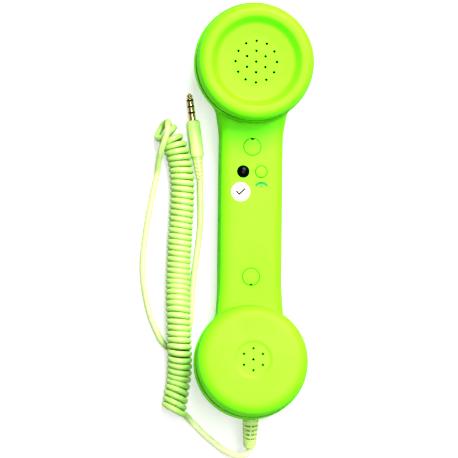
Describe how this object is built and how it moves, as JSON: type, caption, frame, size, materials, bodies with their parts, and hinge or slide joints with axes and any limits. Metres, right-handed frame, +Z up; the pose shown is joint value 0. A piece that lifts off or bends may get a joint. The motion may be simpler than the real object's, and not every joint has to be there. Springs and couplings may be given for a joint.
{
  "type": "telephone handset",
  "caption": "Retro-shaped telephone handset with a perforated ear cap and mouth cap, push buttons on the grip, and a curly lead ending in a headset plug.",
  "frame": {"origin": "middle of the handset's footprint on the table, at table height", "axes": "+Z up, out of the speaking side; +Y along the grip towards the ear cap; +X to the right of the grip when it is seen from the speaking side with the ear cap up"},
  "size_m": [0.0861, 0.233, 0.048],
  "materials": {
    "shell_lime": "satin moulded lime green",
    "cord_lime": "soft pale yellow-green",
    "plug_overmould": "soft pale yellow-green",
    "button_black": "gloss black",
    "contact_gold": "polished gold-coloured plating",
    "insulator_black": "matt black",
    "steel": "plain zinc-plated steel",
    "board": "green solder mask",
    "switch_black": "matt black",
    "switch_grey": "matt grey",
    "cone_paper": "pressed paper",
    "cloth": "black acoustic cloth",
    "rubber_black": "matt black",
    "sticker": "white coated label"
  },
  "bodies": {
    "handset": {"front_shell": "shell_lime", "rear_shell": "shell_lime", "upper_screw": "steel", "upper_screw_cover": "shell_lime", "lower_screw": "steel", "lower_screw_cover": "shell_lime", "ear_cap": "shell_lime", "ear_dust_cloth": "cloth", "speaker_gasket": "rubber_black", "speaker_cone": "cone_paper", "speaker_basket": "steel", "speaker_magnet": "steel", "mouth_cap": "shell_lime", "mouth_dust_cloth": "cloth", "microphone_boot": "rubber_black", "microphone": "steel", "button_board": "board", "call_switch": "switch_black", "mute_switch": "switch_black", "board_screw_left": "steel", "board_screw_right": "steel", "check_sticker": "sticker", "weight_bar": "steel", "speaker_wire": "rubber_black", "microphone_wire": "rubber_black", "cord_tail": "cord_lime", "strain_relief": "cord_lime", "cord_crimp": "steel", "cord_lead_handset": "cord_lime", "cord_coil": "cord_lime", "cord_lead_plug": "cord_lime", "plug_tip": "contact_gold", "plug_tip_band": "insulator_black", "plug_first_ring": "contact_gold", "plug_first_band": "insulator_black", "plug_second_ring": "contact_gold", "plug_second_band": "insulator_black", "plug_sleeve": "contact_gold", "plug_body": "plug_overmould", "plug_strain_relief": "plug_overmould"},
    "call_button": {"call_button": "shell_lime", "call_switch_plunger": "switch_grey"},
    "mute_button": {"mute_button": "button_black", "mute_switch_plunger": "switch_grey"}
  },
  "joints": [
    {"name": "call_press", "type": "slide", "parent": "handset", "child": "call_button", "axis": [0, 0, -1], "range_m": [0, 0.0005], "stiffness_N_per_m": 400, "springref_m": -0.001},
    {"name": "mute_press", "type": "slide", "parent": "handset", "child": "mute_button", "axis": [0, 0, -1], "range_m": [0, 0.0005], "stiffness_N_per_m": 400, "springref_m": -0.001}
  ]
}
